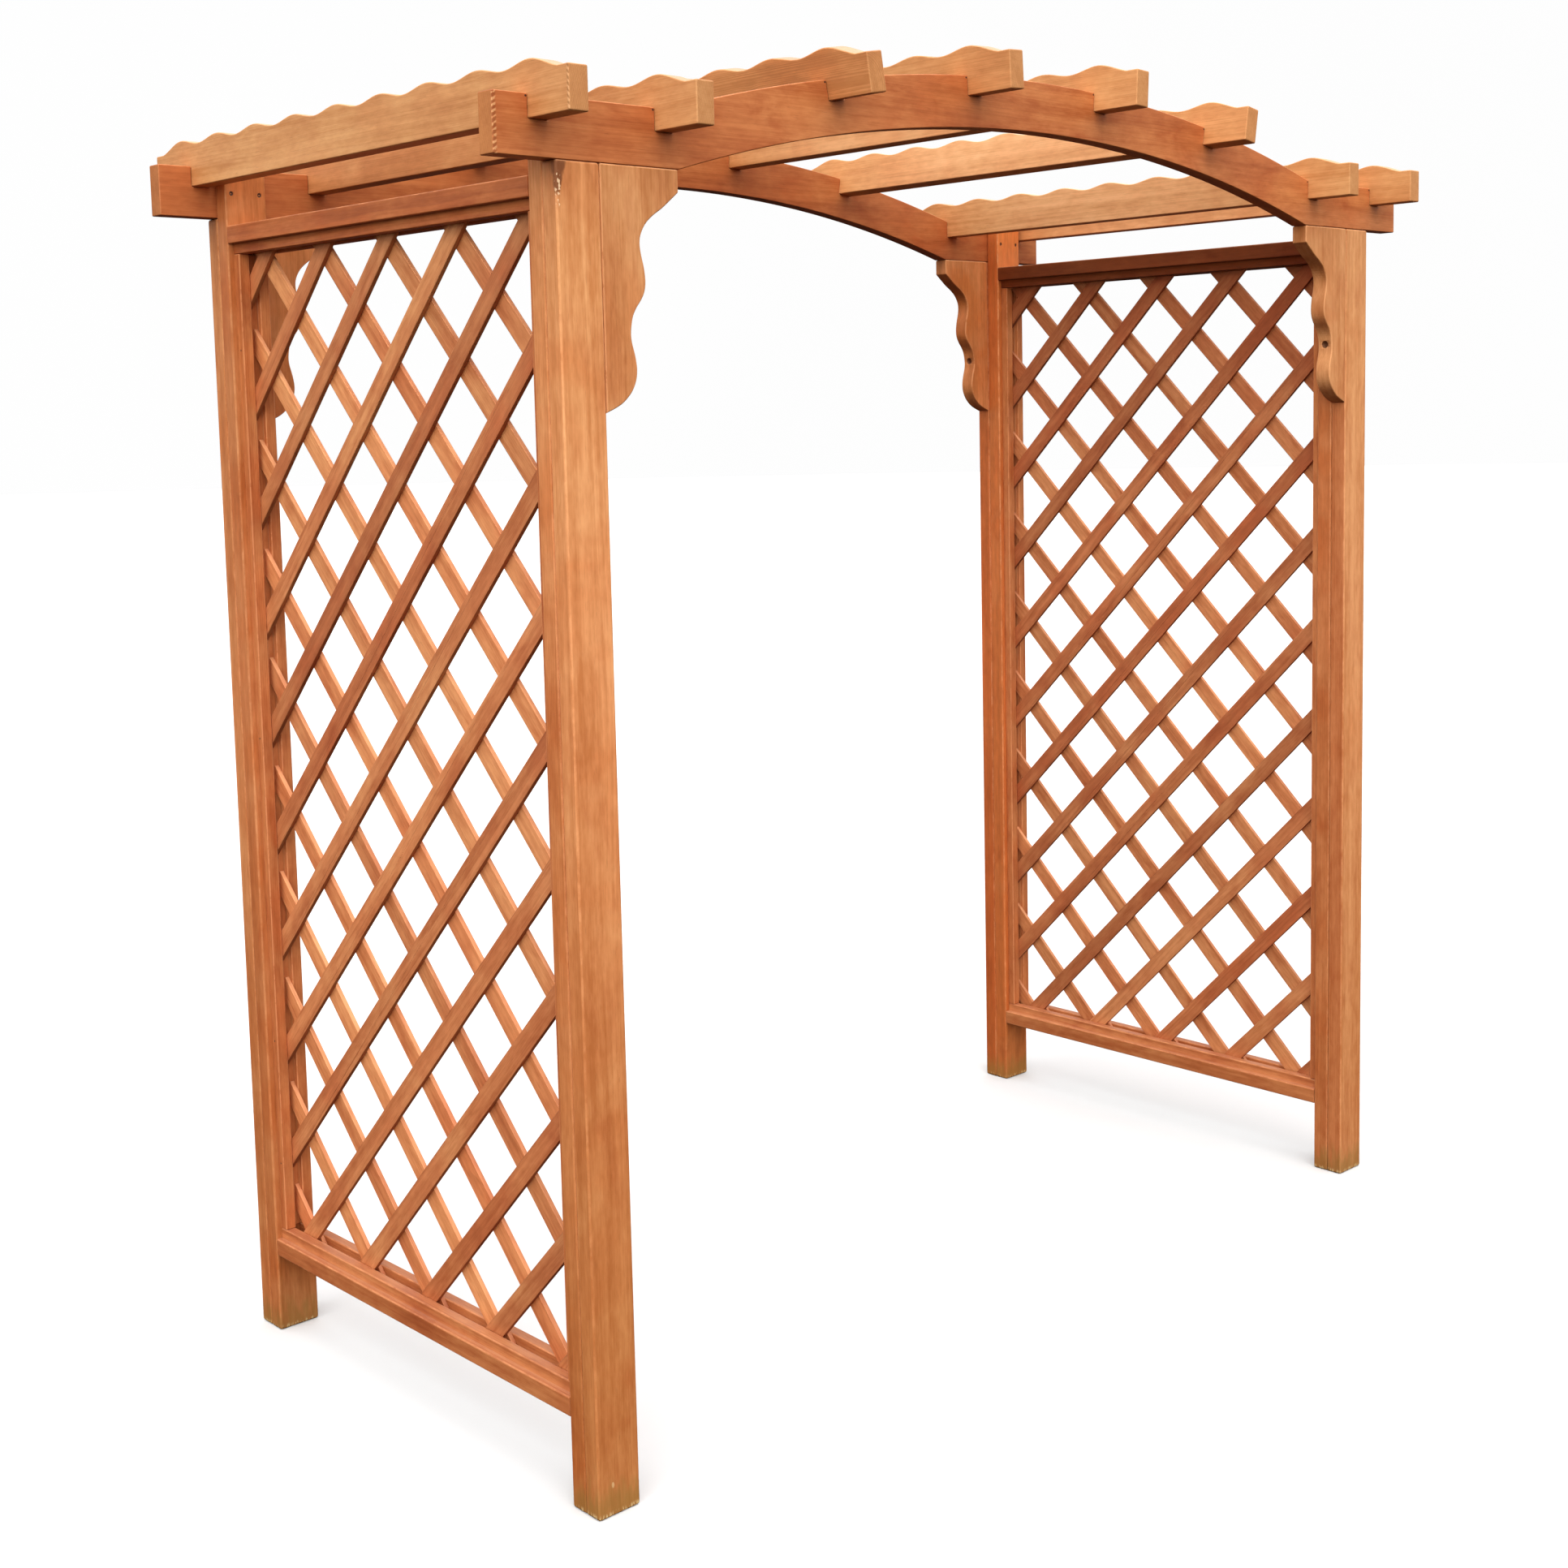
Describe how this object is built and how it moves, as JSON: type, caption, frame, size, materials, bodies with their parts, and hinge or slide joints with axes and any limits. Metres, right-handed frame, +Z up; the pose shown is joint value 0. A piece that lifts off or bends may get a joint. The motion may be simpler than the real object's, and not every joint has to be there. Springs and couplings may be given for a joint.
{
  "type": "garden arbor",
  "caption": "Stained cedar garden arbor: arched headers on double-board posts, scalloped rafters, knee brackets and framed diagonal lattice sides.",
  "frame": {"origin": "on the ground at the middle of the footprint of the four posts", "axes": "+Z up, +X to the right seen from the front, +Y towards the back; the walkway runs along Y"},
  "size_m": [2.6048, 1.3848, 2.5739],
  "materials": {
    "cedar_rafter": "light amber stain, satin",
    "cedar_frame": "red-brown stain, satin",
    "cedar_lattice": "red-brown stain, rough sawn",
    "screw_steel": "dark coated"
  },
  "bodies": {
    "root": {"header_front": "cedar_frame", "post_front_left_outer_board": "cedar_frame", "post_front_left_inner_board": "cedar_frame", "bracket_front_left": "cedar_frame", "bracket_screw_front_left": "screw_steel", "header_screw_front_left_1": "screw_steel", "header_screw_front_left_2": "screw_steel", "post_front_right_outer_board": "cedar_frame", "post_front_right_inner_board": "cedar_frame", "bracket_front_right": "cedar_frame", "bracket_screw_front_right": "screw_steel", "header_screw_front_right_1": "screw_steel", "header_screw_front_right_2": "screw_steel", "header_back": "cedar_frame", "post_back_left_outer_board": "cedar_frame", "post_back_left_inner_board": "cedar_frame", "bracket_back_left": "cedar_frame", "bracket_screw_back_left": "screw_steel", "header_screw_back_left_1": "screw_steel", "header_screw_back_left_2": "screw_steel", "post_back_right_outer_board": "cedar_frame", "post_back_right_inner_board": "cedar_frame", "bracket_back_right": "cedar_frame", "bracket_screw_back_right": "screw_steel", "header_screw_back_right_1": "screw_steel", "header_screw_back_right_2": "screw_steel", "rafter_1": "cedar_rafter", "rafter_2": "cedar_rafter", "rafter_3": "cedar_rafter", "rafter_4": "cedar_rafter", "rafter_5": "cedar_rafter", "rafter_6": "cedar_rafter", "rafter_7": "cedar_rafter", "rafter_8": "cedar_rafter", "lattice_left": "cedar_lattice", "side_left_bottom_rail": "cedar_frame", "side_left_top_rail": "cedar_frame", "side_left_front_stile": "cedar_frame", "side_left_back_stile": "cedar_frame", "lattice_right": "cedar_lattice", "side_right_bottom_rail": "cedar_frame", "side_right_top_rail": "cedar_frame", "side_right_front_stile": "cedar_frame", "side_right_back_stile": "cedar_frame"}
  },
  "joints": []
}
